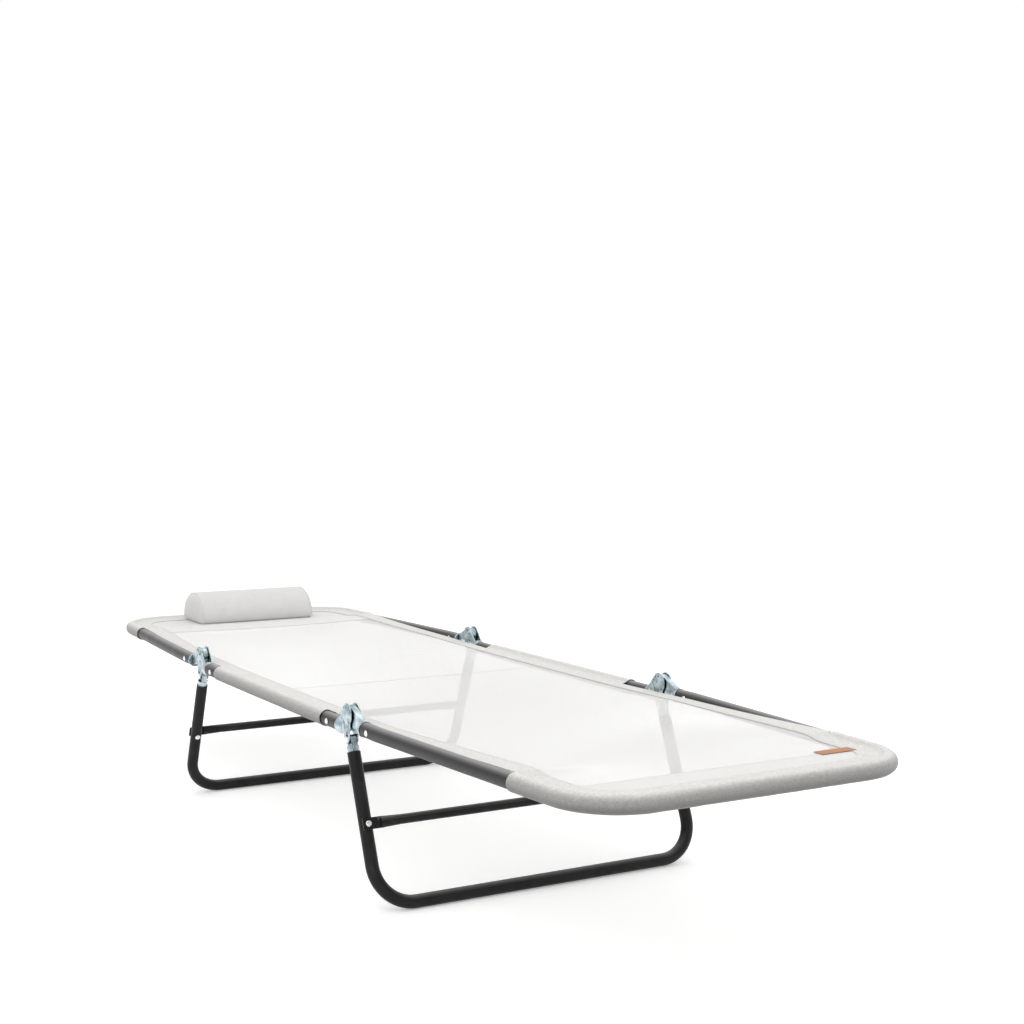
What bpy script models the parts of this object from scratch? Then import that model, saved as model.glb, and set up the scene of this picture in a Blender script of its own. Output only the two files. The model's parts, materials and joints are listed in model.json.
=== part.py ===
"""Folding cot: two U-shaped end frames and a pair of middle rails, joined by four pressed
hinges, on two U-shaped legs that fold in under the middle section.

Metres, +Z up. X runs across the cot and Y along it, with the head end at +Y.
The origin is on the floor under the middle of the cot.
"""
import math

import bmesh
import bpy
from mathutils import Matrix, Vector

# Driving dimensions of the frame
RAIL_X = 0.280              # centre line of a side tube from the middle of the cot
RAIL_Z = 0.262              # centre line of the end frames' side tubes above the floor
MIDDLE_RAIL_DROP = 0.006    # the middle rails sit this much lower than the end frames
HALF_MIDDLE = 0.3325        # from the middle of the cot to a hinge's pivot
END_LENGTH = 0.6140         # from a pivot to the centre line of an end frame's far bar
END_HALF_WIDTH = 0.248      # the side tubes draw in towards this at the far bar
END_CORNER = 0.088          # bend radius of an end frame's corners
LEG_SPLAY = math.radians(21.5)
LEG_CORNER = 0.060
RAIL_RADIUS = 0.011
LEG_RADIUS = 0.010
WALL = 0.0012
CROSSBAR_RADIUS = 0.0075
GAP = 0.0003                # air between pieces that touch

# Hinge
PIVOT_RISE = 0.015          # main pivot above the end frame's tube
LEG_PIVOT_DROP = 0.0225     # leg pivot below the end frame's tube
PLATE_INNER = 0.0060        # a hinge plate's inner face from the hinge's middle plane
PLATE_THICK = 0.0020
TONGUE_HALF = 0.0050        # half the thickness of the tongues between the plates
DISC_RADIUS = 0.0165
LEG_DISC_RADIUS = 0.0070
PIN_RADIUS = 0.0040
LEG_PIN_RADIUS = 0.0032
HOLE_CLEARANCE = 0.0004
SOCKET_START = 0.024        # from the pivot to the socket collar of the middle rail
MIDDLE_TUBE_START = 0.0380
ARM_COLLAR_START = 0.0450
END_TUBE_START = 0.0510
STRAIGHT_PART = 0.092       # an end frame's side tube runs straight this far from the pivot
FERRULE_START = 0.0105      # along the leg, from the leg pivot
LEG_TUBE_START = 0.0195
PLUG_LENGTH = 0.040

# Crossbar of a leg frame, and the rivets
CROSSBAR_Z = 0.121
TAB_THICK = 0.0030
RIVET_RADIUS = 0.0025
RIVET_HEAD = 0.0048

# Fabric
FABRIC = 0.0015
SLEEVE_RADIUS = 0.0128
FABRIC_RISE = 0.0060        # top of the fabric above its tube's centre line
PANEL_INSET = 0.0140        # from a tube's centre line to the edge of a fabric panel
MIDDLE_PANEL_END = 0.250
SLEEVE_SHORT = 0.010        # a middle sleeve ends this much before its panel
END_PANEL_START = 0.155     # from the pivot
POCKET_SHARE = 0.275        # share of a side tube's length that a pocket covers
PILLOW_LENGTH = 0.250
PILLOW_DEPTH = 0.124
PILLOW_HEIGHT = 0.066
PILLOW_X = 0.008
PILLOW_Y = 0.869
TAG_SIZE = (0.060, 0.020, 0.0008)
TAG_PLACE = (0.1915, -0.8575)

ROUND_SIDES = 12
HULL_STEPS = 16

PIVOT_Z = RAIL_Z + PIVOT_RISE
MIDDLE_RAIL_Z = RAIL_Z - MIDDLE_RAIL_DROP
LEG_PIVOT_Z = RAIL_Z - LEG_PIVOT_DROP
LEG_LENGTH = (LEG_PIVOT_Z - LEG_RADIUS) / math.cos(LEG_SPLAY)
END_TURNS = {"head": Matrix.Identity(4), "foot": Matrix.Rotation(math.pi, 4, "Z")}
SIDES = {"left": -1, "right": 1}

for old in list(bpy.data.objects):
    bpy.data.objects.remove(old, do_unlink=True)

cot = bpy.data.collections.new("folding_cot")
bpy.context.scene.collection.children.link(cot)


def make_material(name, colour, metallic, roughness):
    material = bpy.data.materials.new(name)
    material.use_nodes = True
    shader = material.node_tree.nodes["Principled BSDF"]
    shader.inputs["Base Color"].default_value = (*colour, 1)
    shader.inputs["Metallic"].default_value = metallic
    shader.inputs["Roughness"].default_value = roughness
    return material


black_paint = make_material("black_paint", (0.02, 0.02, 0.022), 0.0, 0.45)
zinc = make_material("zinc", (0.70, 0.72, 0.76), 1.0, 0.35)
rivet_steel = make_material("rivet_steel", (0.80, 0.80, 0.80), 1.0, 0.30)
mesh_fabric = make_material("mesh_fabric", (0.88, 0.86, 0.80), 0.0, 0.90)
pillow_fabric = make_material("pillow_fabric", (0.62, 0.62, 0.63), 0.0, 0.90)
tag_leather = make_material("tag_leather", (0.55, 0.25, 0.12), 0.0, 0.60)


# Shapes

def new_object(name, mesh):
    thing = bpy.data.objects.new(name, mesh)
    cot.objects.link(thing)
    return thing


def evaluated_mesh(thing):
    """The object's mesh with its curve or modifiers worked out; the object is removed."""
    graph = bpy.context.evaluated_depsgraph_get()
    graph.update()
    mesh = bpy.data.meshes.new_from_object(thing.evaluated_get(graph))
    mesh.transform(thing.matrix_world)
    bpy.data.objects.remove(thing)
    return mesh


def tidy(mesh):
    """Weld loose caps and turn every face outward."""
    work = bmesh.new()
    work.from_mesh(mesh)
    bmesh.ops.remove_doubles(work, verts=work.verts, dist=1e-6)
    bmesh.ops.recalc_face_normals(work, faces=work.faces)
    work.to_mesh(mesh)
    work.free()
    return mesh


def swept_tube(points, radius, wall=None, sides=12):
    """Mesh of a round tube along points; solid where wall is None, else hollow and open."""
    curve = bpy.data.curves.new("route", "CURVE")
    curve.dimensions = "3D"
    curve.bevel_depth = radius
    curve.bevel_resolution = (sides - 4) // 2
    curve.use_fill_caps = wall is None
    line = curve.splines.new("POLY")
    line.points.add(len(points) - 1)
    for point, place in zip(line.points, points):
        point.co = (*place, 1)
    thing = new_object("route", curve)
    mesh = tidy(evaluated_mesh(thing))
    if wall is None:
        return mesh
    thing = new_object("route", mesh)
    shell = thing.modifiers.new("wall", "SOLIDIFY")
    shell.thickness = wall
    shell.offset = -1
    shell.use_even_offset = True
    return tidy(evaluated_mesh(thing))


def rod(start, end, radius, sides=ROUND_SIDES):
    """Mesh of a solid cylinder between two points."""
    start, end = Vector(start), Vector(end)
    along = end - start
    work = bmesh.new()
    bmesh.ops.create_cone(work, cap_ends=True, segments=sides, radius1=radius, radius2=radius,
                          depth=along.length)
    turn = along.to_track_quat("Z", "Y").to_matrix().to_4x4()
    bmesh.ops.transform(work, verts=work.verts,
                        matrix=Matrix.Translation((start + end) / 2) @ turn)
    mesh = bpy.data.meshes.new("rod")
    work.to_mesh(mesh)
    work.free()
    return mesh


def block(low, high):
    """Mesh of a box between two corners."""
    low, high = Vector(low), Vector(high)
    work = bmesh.new()
    bmesh.ops.create_cube(work, size=1)
    bmesh.ops.scale(work, verts=work.verts, vec=high - low)
    bmesh.ops.translate(work, verts=work.verts, vec=(low + high) / 2)
    mesh = bpy.data.meshes.new("block")
    work.to_mesh(mesh)
    work.free()
    return mesh


def turned(profile, sides=ROUND_SIDES):
    """Mesh turned about X from a profile of (x, radius) points that starts and ends on the axis."""
    mesh = bpy.data.meshes.new("profile")
    edges = [(i, i + 1) for i in range(len(profile) - 1)]
    mesh.from_pydata([(x, radius, 0) for x, radius in profile], edges, [])
    thing = new_object("profile", mesh)
    screw = thing.modifiers.new("turn", "SCREW")
    screw.axis = "X"
    screw.steps = sides
    screw.render_steps = sides
    screw.use_merge_vertices = True
    screw.merge_threshold = 1e-5
    return tidy(evaluated_mesh(thing))


def rivet(half_length, shank, head, rise):
    """A rivet along X with a low domed head at each end."""
    profile = [(-half_length - rise, 0), (-half_length - 0.7 * rise, 0.75 * head),
               (-half_length, head), (-half_length, shank)]
    mirrored = [(-x, radius) for x, radius in reversed(profile)]
    return turned(profile + mirrored)


def flat_plate(outline, thickness, holes=()):
    """Mesh of a plate in the YZ plane, centred on x = 0. Each hole is (y, z, radius)."""
    curve = bpy.data.curves.new("outline", "CURVE")
    curve.dimensions = "2D"
    curve.fill_mode = "BOTH"
    curve.extrude = thickness / 2
    loops = [outline]
    for y, z, radius in holes:
        loops.append(circle_points(y, z, radius, ROUND_SIDES))
    for loop in loops:
        line = curve.splines.new("POLY")
        line.points.add(len(loop) - 1)
        line.use_cyclic_u = True
        for point, (y, z) in zip(line.points, loop):
            point.co = (y, z, 0, 1)
    mesh = tidy(evaluated_mesh(new_object("outline", curve)))
    # The outline's own X and Y become the cot's Y and Z
    mesh.transform(Matrix(((0, 0, 1, 0), (1, 0, 0, 0), (0, 1, 0, 0), (0, 0, 0, 1))))
    return mesh


def circle_points(y, z, radius, steps):
    angles = [2 * math.pi * i / steps for i in range(steps)]
    return [(y + radius * math.cos(a), z + radius * math.sin(a)) for a in angles]


def hull_outline(circles):
    """The outline of a string pulled round circles (y, z, radius), counter-clockwise."""
    points = sorted(p for c in circles for p in circle_points(*c, HULL_STEPS))

    def half(ordered):
        chain = []
        for y, z in ordered:
            while len(chain) > 1:
                (y1, z1), (y2, z2) = chain[-2:]
                if (y2 - y1) * (z - z1) - (z2 - z1) * (y - y1) > 1e-12:
                    break
                chain.pop()
            chain.append((y, z))
        return chain[:-1]

    return half(points) + half(points[::-1])


def boolean(base, tools, operation):
    """Mesh of base joined with, or cut by, each of the meshes in tools."""
    thing = new_object("base", base)
    helpers = []
    for tool in tools:
        helper = new_object("tool", tool)
        helper.hide_render = True
        helper.display_type = "WIRE"
        step = thing.modifiers.new("step", "BOOLEAN")
        step.operation = operation
        step.solver = "EXACT"
        step.object = helper
        helpers.append(helper)
    mesh = evaluated_mesh(thing)
    for helper in helpers:
        bpy.data.objects.remove(helper)
    return tidy(mesh)


def moved(mesh, matrix):
    copy = mesh.copy()
    copy.transform(matrix)
    return copy


def u_path(start, straight, length, half_width, end_half_width, corner, arc_steps=6):
    """Points (x, s) of a U: s runs from the open ends at start to the closed end at length."""
    knee = Vector((half_width, straight))
    tip = Vector((end_half_width, length))
    side = (tip - knee).normalized()
    across = Vector((-1, 0))
    turn = side.angle(across)
    reach = corner * math.tan(turn / 2)
    begin = tip - side * reach
    centre = begin + Vector((-side.y, side.x)) * corner
    first = begin - centre
    half = [(half_width, start)]
    if straight > start:
        half.append(tuple(knee))
    for step in range(arc_steps + 1):
        angle = turn * step / arc_steps
        arm = Matrix.Rotation(angle, 2) @ first
        half.append(tuple(centre + arm))
    return half + [(-x, s) for x, s in reversed(half)]


# Placing

pivots = {}


def pivot_empty(name, y, z):
    empty = bpy.data.objects.new(name, None)
    empty.location = (0, y, z)
    cot.objects.link(empty)
    bpy.context.view_layer.update()
    pivots[name] = empty


for end, direction in (("head", 1), ("foot", -1)):
    pivot_empty(end + "_fold_axis", direction * HALF_MIDDLE, PIVOT_Z)
    pivot_empty(end + "_leg_axis", direction * HALF_MIDDLE, LEG_PIVOT_Z)


def add_part(name, mesh, material, place=Matrix.Identity(4), pivot=None, smooth=True):
    """A named part of the cot, hung on its pivot's empty where it moves."""
    mesh.materials.clear()
    mesh.materials.append(material)
    if smooth:
        mesh.shade_smooth()
        mesh.set_sharp_from_angle(angle=math.radians(35))
    part = new_object(name, mesh)
    part.matrix_world = place
    if pivot:
        empty = pivots[pivot]
        part.parent = empty
        part.matrix_parent_inverse = empty.matrix_world.inverted()
    return part


# Hinges, made once at the head's end with the main pivot at the origin

HUB_SOCKET_Z = MIDDLE_RAIL_Z - PIVOT_Z
ARM_Z = RAIL_Z - PIVOT_Z
LEG_HINGE = Vector((0, 0, LEG_PIVOT_Z - PIVOT_Z))
LEG_WAY = Vector((0, math.sin(LEG_SPLAY), -math.cos(LEG_SPLAY)))
COLLAR_RADIUS = 0.0120
PLUG_RADIUS = RAIL_RADIUS - WALL - 0.0008
PLATE_BOSS = 0.0008
BOSS_RADIUS = 0.0125
SHOULDER_RADIUS = 0.0095    # of the side plates' rounded end over the socket
HEEL = (-0.0105, LEG_HINGE.z + 0.0130, 0.0030)      # their lower corner, clear of the folded leg
NECK_RADIUS = 0.8 * DISC_RADIUS
PLUG_OVERLAP = 0.003        # a plug starts this far inside its collar


def hub_mesh():
    """Two side plates, a web between them, and a collar and plug for the middle rail."""
    pin_hole = (0, 0, PIN_RADIUS + HOLE_CLEARANCE)
    leg_hole = (LEG_HINGE.y, LEG_HINGE.z, LEG_PIN_RADIUS + HOLE_CLEARANCE)
    disc = (0, 0, DISC_RADIUS)
    socket_end = (-SOCKET_START + 0.002, HUB_SOCKET_Z, SHOULDER_RADIUS)
    leg_end = (LEG_HINGE.y, LEG_HINGE.z, LEG_DISC_RADIUS)
    upper = flat_plate(hull_outline([disc, socket_end, HEEL]), PLATE_THICK, [pin_hole])
    lower = flat_plate(hull_outline([(0, 0, NECK_RADIUS), HEEL, leg_end]), PLATE_THICK,
                       [pin_hole, leg_hole])
    plate = boolean(upper, [lower], "UNION")
    boss = flat_plate(circle_points(0, 0, BOSS_RADIUS, HULL_STEPS), 2 * PLATE_BOSS, [pin_hole])
    middle = PLATE_INNER + PLATE_THICK / 2
    plates = []
    for side in (-1, 1):
        face = side * (PLATE_INNER + PLATE_THICK)
        raised = boolean(moved(plate, Matrix.Translation((side * middle, 0, 0))),
                         [moved(boss, Matrix.Translation((face, 0, 0)))], "UNION")
        plates.append(raised)
    reach = PLATE_INNER + 0.5 * PLATE_THICK
    web = block((-reach, -SOCKET_START - 0.001, HUB_SOCKET_Z - 0.0090),
                (reach, -SOCKET_START + 0.005, HUB_SOCKET_Z + 0.0070))
    collar = rod((0, -SOCKET_START, HUB_SOCKET_Z), (0, -MIDDLE_TUBE_START + GAP, HUB_SOCKET_Z),
                 COLLAR_RADIUS)
    plug = rod((0, -SOCKET_START - PLUG_OVERLAP, HUB_SOCKET_Z),
               (0, -MIDDLE_TUBE_START - PLUG_LENGTH, HUB_SOCKET_Z), PLUG_RADIUS)
    return boolean(web, plates + [collar, plug], "UNION")


def arm_mesh():
    """The tongue that turns between the plates, with a collar and plug for the end frame."""
    outline = hull_outline([(0, 0, DISC_RADIUS - 0.0025), (ARM_COLLAR_START + 0.002, ARM_Z, 0.0085)])
    tongue = flat_plate(outline, 2 * TONGUE_HALF, [(0, 0, PIN_RADIUS + HOLE_CLEARANCE)])
    collar = rod((0, ARM_COLLAR_START, ARM_Z), (0, END_TUBE_START - GAP, ARM_Z), COLLAR_RADIUS)
    plug = rod((0, ARM_COLLAR_START + PLUG_OVERLAP, ARM_Z), (0, END_TUBE_START + PLUG_LENGTH, ARM_Z),
               PLUG_RADIUS)
    return boolean(tongue, [collar, plug], "UNION")


def leg_bracket_mesh():
    """The tongue on the leg pivot, with a ferrule and a plug for the leg tube."""
    neck = LEG_HINGE + LEG_WAY * (FERRULE_START + 0.002)
    outline = hull_outline([(LEG_HINGE.y, LEG_HINGE.z, LEG_DISC_RADIUS), (neck.y, neck.z, 0.0080)])
    hole = (LEG_HINGE.y, LEG_HINGE.z, LEG_PIN_RADIUS + HOLE_CLEARANCE)
    tongue = flat_plate(outline, 2 * TONGUE_HALF, [hole])

    def along(start, end, radius):
        return rod(LEG_HINGE + LEG_WAY * start, LEG_HINGE + LEG_WAY * end, radius)

    ferrule = along(FERRULE_START, LEG_TUBE_START - GAP, LEG_RADIUS - 0.0010)
    plug = along(FERRULE_START + PLUG_OVERLAP, LEG_TUBE_START + PLUG_LENGTH, LEG_RADIUS - WALL - 0.0008)
    return boolean(tongue, [ferrule, plug], "UNION")


RAIL_RIVET_AT = 0.030       # from a rail tube's end to its rivet
FRAME_RIVET_AT = 0.024      # the same on an end frame
HEAD_GAP = RAIL_RADIUS + GAP
hub_rivet_y = -MIDDLE_TUBE_START - RAIL_RIVET_AT
arm_rivet_y = END_TUBE_START + FRAME_RIVET_AT
drill_radius = RIVET_RADIUS + HOLE_CLEARANCE


def rivet_drill(x, y, z, half=0.02):
    return rod((x - half, y, z), (x + half, y, z), drill_radius, 12)


hub = boolean(hub_mesh(), [rivet_drill(0, hub_rivet_y, HUB_SOCKET_Z)], "DIFFERENCE")
arm = boolean(arm_mesh(), [rivet_drill(0, arm_rivet_y, ARM_Z)], "DIFFERENCE")
leg_bracket = leg_bracket_mesh()
main_pin = rivet(PLATE_INNER + PLATE_THICK + PLATE_BOSS + GAP, PIN_RADIUS, 0.0085, 0.0028)
leg_pin = moved(rivet(PLATE_INNER + PLATE_THICK + GAP, LEG_PIN_RADIUS, 0.0050, 0.0020),
                Matrix.Translation(LEG_HINGE))
tube_rivet = rivet(HEAD_GAP, RIVET_RADIUS, RIVET_HEAD, 0.0016)

# Each end: its frame, leg and crossbar, and the two hinges


def end_frame_points(start=END_TUBE_START, arc_steps=6):
    path = u_path(start, STRAIGHT_PART, END_LENGTH, RAIL_X, END_HALF_WIDTH, END_CORNER, arc_steps)
    return [(x, HALF_MIDDLE + s, RAIL_Z) for x, s in path]


def end_frame_mesh():
    tube = swept_tube(end_frame_points(), RAIL_RADIUS, WALL)
    drills = [rivet_drill(side * RAIL_X, HALF_MIDDLE + arm_rivet_y, RAIL_Z)
              for side in SIDES.values()]
    return boolean(tube, drills, "DIFFERENCE")


LEG_TOP = Vector((0, HALF_MIDDLE, LEG_PIVOT_Z))
LEG_OUTWARD = Vector((0, math.cos(LEG_SPLAY), math.sin(LEG_SPLAY)))
CROSSBAR_DOWN = (LEG_PIVOT_Z - CROSSBAR_Z) / math.cos(LEG_SPLAY)
TAB_OUT = LEG_RADIUS + GAP + TAB_THICK / 2
BAR_OUT = LEG_RADIUS + GAP + 0.0030


def leg_tube_mesh():
    path = u_path(LEG_TUBE_START, LEG_TUBE_START, LEG_LENGTH, RAIL_X, RAIL_X, LEG_CORNER)
    points = [LEG_TOP + LEG_WAY * s + Vector((x, 0, 0)) for x, s in path]
    tube = swept_tube(points, LEG_RADIUS, WALL)
    return boolean(tube, [leg_drill(side * RAIL_X) for side in SIDES.values()], "DIFFERENCE")


def leg_drill(x):
    centre = LEG_TOP + LEG_WAY * CROSSBAR_DOWN + Vector((x, 0, 0))
    return rod(centre - LEG_OUTWARD * 0.03, centre + LEG_OUTWARD * 0.03, drill_radius, 12)


def crossbar_mesh():
    """A round bar whose flattened ends lie on the outer faces of the leg tubes."""
    half_bar = RAIL_X - LEG_RADIUS - 0.008
    centre = LEG_TOP + LEG_WAY * CROSSBAR_DOWN
    across = Vector((half_bar, 0, 0))
    middle = centre + LEG_OUTWARD * BAR_OUT
    bar = rod(middle - across, middle + across, CROSSBAR_RADIUS)
    tilt = Matrix.Translation(centre) @ Matrix.Rotation(LEG_SPLAY, 4, "X")
    tabs = []
    for side in SIDES.values():
        ends = sorted((side * (half_bar - 0.006), side * (RAIL_X + 0.009)))
        tab = block((ends[0], TAB_OUT - TAB_THICK / 2, -0.0085),
                    (ends[1], TAB_OUT + TAB_THICK / 2, 0.0085))
        tabs.append(moved(tab, tilt))
    joined = boolean(bar, tabs, "UNION")
    return boolean(joined, [leg_drill(side * RAIL_X) for side in SIDES.values()], "DIFFERENCE")


def crossbar_rivet_mesh():
    """A rivet through the leg tube and the crossbar's flattened end."""
    inner = -LEG_RADIUS - GAP
    outer = TAB_OUT + TAB_THICK / 2 + GAP
    reach = (outer - inner) / 2
    pin = rivet(reach, RIVET_RADIUS, RIVET_HEAD, 0.0020)
    centre = LEG_TOP + LEG_WAY * CROSSBAR_DOWN + LEG_OUTWARD * (inner + outer) / 2
    turn = LEG_OUTWARD.to_track_quat("X", "Z").to_matrix().to_4x4()
    return moved(pin, Matrix.Translation(centre) @ turn)


def panel_mesh(outline, top):
    """A thin flat panel of fabric below the height top, from an outline of (x, y) points."""
    curve = bpy.data.curves.new("panel", "CURVE")
    curve.dimensions = "2D"
    curve.fill_mode = "BOTH"
    curve.extrude = FABRIC / 2
    line = curve.splines.new("POLY")
    line.points.add(len(outline) - 1)
    line.use_cyclic_u = True
    for point, (x, y) in zip(line.points, outline):
        point.co = (x, y, 0, 1)
    mesh = tidy(evaluated_mesh(new_object("panel", curve)))
    mesh.transform(Matrix.Translation((0, 0, top - FABRIC / 2)))
    return mesh


def end_width(s):
    """Half the distance between an end frame's side tubes, s from the pivot."""
    share = max(0, (s - STRAIGHT_PART) / (END_LENGTH - STRAIGHT_PART))
    return RAIL_X + (END_HALF_WIDTH - RAIL_X) * share


def end_panel_mesh():
    path = u_path(END_PANEL_START, END_PANEL_START, END_LENGTH - PANEL_INSET,
                  end_width(END_PANEL_START) - PANEL_INSET, END_HALF_WIDTH - PANEL_INSET,
                  END_CORNER - PANEL_INSET)
    return panel_mesh([(x, HALF_MIDDLE + s) for x, s in path], RAIL_Z + FABRIC_RISE)


def bridge_mesh():
    """The fabric that spans a hinge line, between the middle panel and an end panel."""
    near = MIDDLE_PANEL_END + GAP
    far = HALF_MIDDLE + END_PANEL_START - GAP
    width = end_width(END_PANEL_START) - PANEL_INSET
    corners = [(-width, near), (width, near), (width, far), (-width, far)]
    mesh = panel_mesh(corners, MIDDLE_RAIL_Z + FABRIC_RISE)
    slope = (RAIL_Z - MIDDLE_RAIL_Z) / (far - near)
    for point in mesh.vertices:
        point.co.z += slope * (point.co.y - near)
    return mesh


def pocket_mesh():
    """The fabric sewn round the end of the frame, open where the side tubes leave it."""
    start = END_LENGTH * (1 - POCKET_SHARE)
    path = u_path(start, start, END_LENGTH, end_width(start), END_HALF_WIDTH, END_CORNER)
    points = [(x, HALF_MIDDLE + s, RAIL_Z) for x, s in path]
    return swept_tube(points, SLEEVE_RADIUS, FABRIC - 2 * GAP)


end_meshes = {
    "frame_tube": (end_frame_mesh(), black_paint, "_fold_axis"),
    "pocket": (pocket_mesh(), mesh_fabric, "_fold_axis"),
    "panel": (end_panel_mesh(), mesh_fabric, "_fold_axis"),
    "bridge": (bridge_mesh(), mesh_fabric, "_fold_axis"),
    "leg_tube": (leg_tube_mesh(), black_paint, "_leg_axis"),
    "crossbar": (crossbar_mesh(), black_paint, "_leg_axis"),
}
hinge_meshes = {
    "hub": (hub, zinc, None),
    "arm": (arm, zinc, "_fold_axis"),
    "leg_bracket": (leg_bracket, zinc, "_leg_axis"),
    "main_pin": (main_pin, rivet_steel, None),
    "leg_pin": (leg_pin, rivet_steel, None),
}
crossbar_rivet = crossbar_rivet_mesh()

for end, turn in END_TURNS.items():
    for kind, (mesh, material, pivot) in end_meshes.items():
        add_part(f"{end}_{kind}", mesh, material, turn, end + pivot)
    for side_name, side in SIDES.items():
        across = Matrix.Translation((side * RAIL_X, 0, 0))
        hinge_place = across @ turn @ Matrix.Translation((0, HALF_MIDDLE, PIVOT_Z))
        label = f"{end}_{side_name}"
        for kind, (mesh, material, pivot) in hinge_meshes.items():
            add_part(f"{label}_{kind}", mesh, material, hinge_place, pivot and end + pivot)
        arm_rivet_place = hinge_place @ Matrix.Translation((0, arm_rivet_y, ARM_Z))
        hub_rivet_place = hinge_place @ Matrix.Translation((0, hub_rivet_y, HUB_SOCKET_Z))
        add_part(label + "_frame_rivet", tube_rivet, rivet_steel, arm_rivet_place,
                 end + "_fold_axis")
        add_part(label + "_rail_rivet", tube_rivet, rivet_steel, hub_rivet_place)
        add_part(label + "_crossbar_rivet", crossbar_rivet, rivet_steel, across @ turn,
                 end + "_leg_axis")

# Middle section: two rails in their fabric sleeves, and the panel between them

rail_half = HALF_MIDDLE - MIDDLE_TUBE_START
rail = swept_tube([(0, -rail_half, 0), (0, rail_half, 0)], RAIL_RADIUS, WALL, ROUND_SIDES)
rail_rivet_half = HALF_MIDDLE + hub_rivet_y
rail = boolean(rail, [rivet_drill(0, y, 0) for y in (-rail_rivet_half, rail_rivet_half)],
               "DIFFERENCE")
sleeve_half = MIDDLE_PANEL_END - SLEEVE_SHORT
sleeve = swept_tube([(0, -sleeve_half, 0), (0, sleeve_half, 0)], SLEEVE_RADIUS,
                    FABRIC - 2 * GAP, ROUND_SIDES)
for side_name, side in SIDES.items():
    place = Matrix.Translation((side * RAIL_X, 0, MIDDLE_RAIL_Z))
    add_part(f"middle_rail_{side_name}", rail, black_paint, place)
    add_part(f"middle_sleeve_{side_name}", sleeve, mesh_fabric, place)

panel_x = RAIL_X - PANEL_INSET
middle_outline = [(-panel_x, -MIDDLE_PANEL_END), (panel_x, -MIDDLE_PANEL_END),
                  (panel_x, MIDDLE_PANEL_END), (-panel_x, MIDDLE_PANEL_END)]
add_part("middle_panel", panel_mesh(middle_outline, MIDDLE_RAIL_Z + FABRIC_RISE), mesh_fabric)

# Pillow: a half-round bolster lying on the head end's fabric

pillow_points = [(PILLOW_DEPTH / 2 * math.cos(a), PILLOW_HEIGHT * math.sin(a))
                 for a in (math.pi * i / HULL_STEPS for i in range(HULL_STEPS + 1))]
pillow_z = RAIL_Z + FABRIC_RISE + GAP
pillow = flat_plate([(PILLOW_Y + y, pillow_z + z) for y, z in pillow_points], PILLOW_LENGTH)
add_part("pillow", pillow, pillow_fabric, Matrix.Translation((PILLOW_X, 0, 0)), "head_fold_axis")

# A blank leather tag sewn on near the foot end
tag_low = (TAG_PLACE[0] - TAG_SIZE[0] / 2, TAG_PLACE[1] - TAG_SIZE[1] / 2,
           RAIL_Z + FABRIC_RISE + GAP)
tag = block(tag_low, [low + size for low, size in zip(tag_low, TAG_SIZE)])
add_part("leather_tag", tag, tag_leather, pivot="foot_fold_axis", smooth=False)
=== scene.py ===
"""The folding cot's looks: mesh fabric, pillow, powder-coated tubes, zinc-plated hinges."""
import json
import math

import bmesh
import bpy
import numpy as np
from mathutils import Matrix, Vector, noise
from mathutils.bvhtree import BVHTree


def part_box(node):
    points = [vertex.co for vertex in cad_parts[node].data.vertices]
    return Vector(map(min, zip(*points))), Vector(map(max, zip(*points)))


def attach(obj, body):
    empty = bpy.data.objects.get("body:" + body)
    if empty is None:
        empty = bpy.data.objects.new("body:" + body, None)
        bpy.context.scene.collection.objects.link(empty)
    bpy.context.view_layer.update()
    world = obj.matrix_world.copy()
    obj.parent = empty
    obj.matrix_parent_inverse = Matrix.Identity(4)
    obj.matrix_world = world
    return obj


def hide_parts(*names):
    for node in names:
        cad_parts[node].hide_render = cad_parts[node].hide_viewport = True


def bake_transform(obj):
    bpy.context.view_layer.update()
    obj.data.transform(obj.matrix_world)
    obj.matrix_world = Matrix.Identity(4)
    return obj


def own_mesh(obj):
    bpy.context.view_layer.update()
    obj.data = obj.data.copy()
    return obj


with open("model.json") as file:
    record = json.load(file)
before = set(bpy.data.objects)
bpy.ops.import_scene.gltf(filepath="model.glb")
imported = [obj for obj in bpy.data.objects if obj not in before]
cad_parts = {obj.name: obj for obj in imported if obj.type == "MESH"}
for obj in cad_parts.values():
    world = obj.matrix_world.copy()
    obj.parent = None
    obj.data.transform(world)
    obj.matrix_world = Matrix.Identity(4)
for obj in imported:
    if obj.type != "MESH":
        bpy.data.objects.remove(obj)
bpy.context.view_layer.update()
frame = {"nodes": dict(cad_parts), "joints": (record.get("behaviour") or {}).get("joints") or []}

# Sizes read from the frame, in metres

rail_low, rail_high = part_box("middle_rail_right")
RAIL_RADIUS = (rail_high.x - rail_low.x) / 2
RAIL_X = (rail_high.x + rail_low.x) / 2
MIDDLE_RAIL_Z = (rail_high.z + rail_low.z) / 2
RAIL_END = rail_high.y
frame_low, frame_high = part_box("head_frame_tube")
RAIL_Z = (frame_high.z + frame_low.z) / 2
END_TUBE_START = frame_low.y
END_BAR_Y = frame_high.y - RAIL_RADIUS
JOINTS = {joint["name"]: joint for joint in frame["joints"]}
PIVOT_Y = JOINTS["head_fold"]["pos_m"][1]
PIVOT_Z = JOINTS["head_fold"]["pos_m"][2]
LEG_PIVOT_Y = JOINTS["head_leg_fold"]["pos_m"][1]
LEG_PIVOT_Z = JOINTS["head_leg_fold"]["pos_m"][2]

# Sizes that the boxes can't tell

END_HALF_WIDTH = 0.248      # the end frames draw in towards this
END_CORNER = 0.088
STRAIGHT_PART = 0.092       # a side tube runs straight this far from its pivot
LEG_SPLAY = math.radians(21.5)
LEG_CORNER = 0.060
LEG_RADIUS = 0.010
LEG_TUBE_START = 0.0195     # along the leg, from its pivot

# Fabric

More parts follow.
